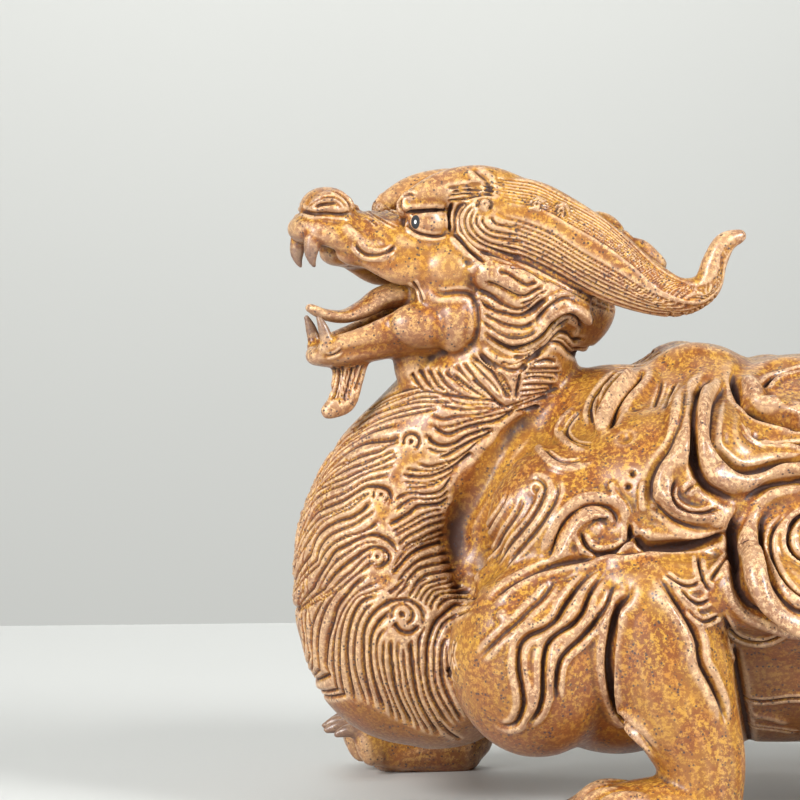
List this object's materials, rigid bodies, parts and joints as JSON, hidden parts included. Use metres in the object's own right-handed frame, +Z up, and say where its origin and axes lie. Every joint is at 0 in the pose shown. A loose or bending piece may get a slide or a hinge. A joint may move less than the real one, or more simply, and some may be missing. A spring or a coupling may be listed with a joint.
{
  "type": "dragon turtle figurine",
  "caption": "Tea pet of fired clay: a turtle's body with a scrolled shell and a horned dragon's head, its mouth open, standing on flat-cut feet.",
  "frame": {"origin": "the point of the ground under the middle of the figure's box", "axes": "+X to the tail, so the figure faces -X; its left side is -Y; +Z up from the ground it stands on"},
  "size_m": [0.1662, 0.1016, 0.12],
  "materials": {
    "fired_clay": "satin unglazed fired clay, ochre with rust blotches and dark specks"
  },
  "bodies": {
    "root": {"dragon_turtle": "fired_clay"}
  },
  "joints": []
}
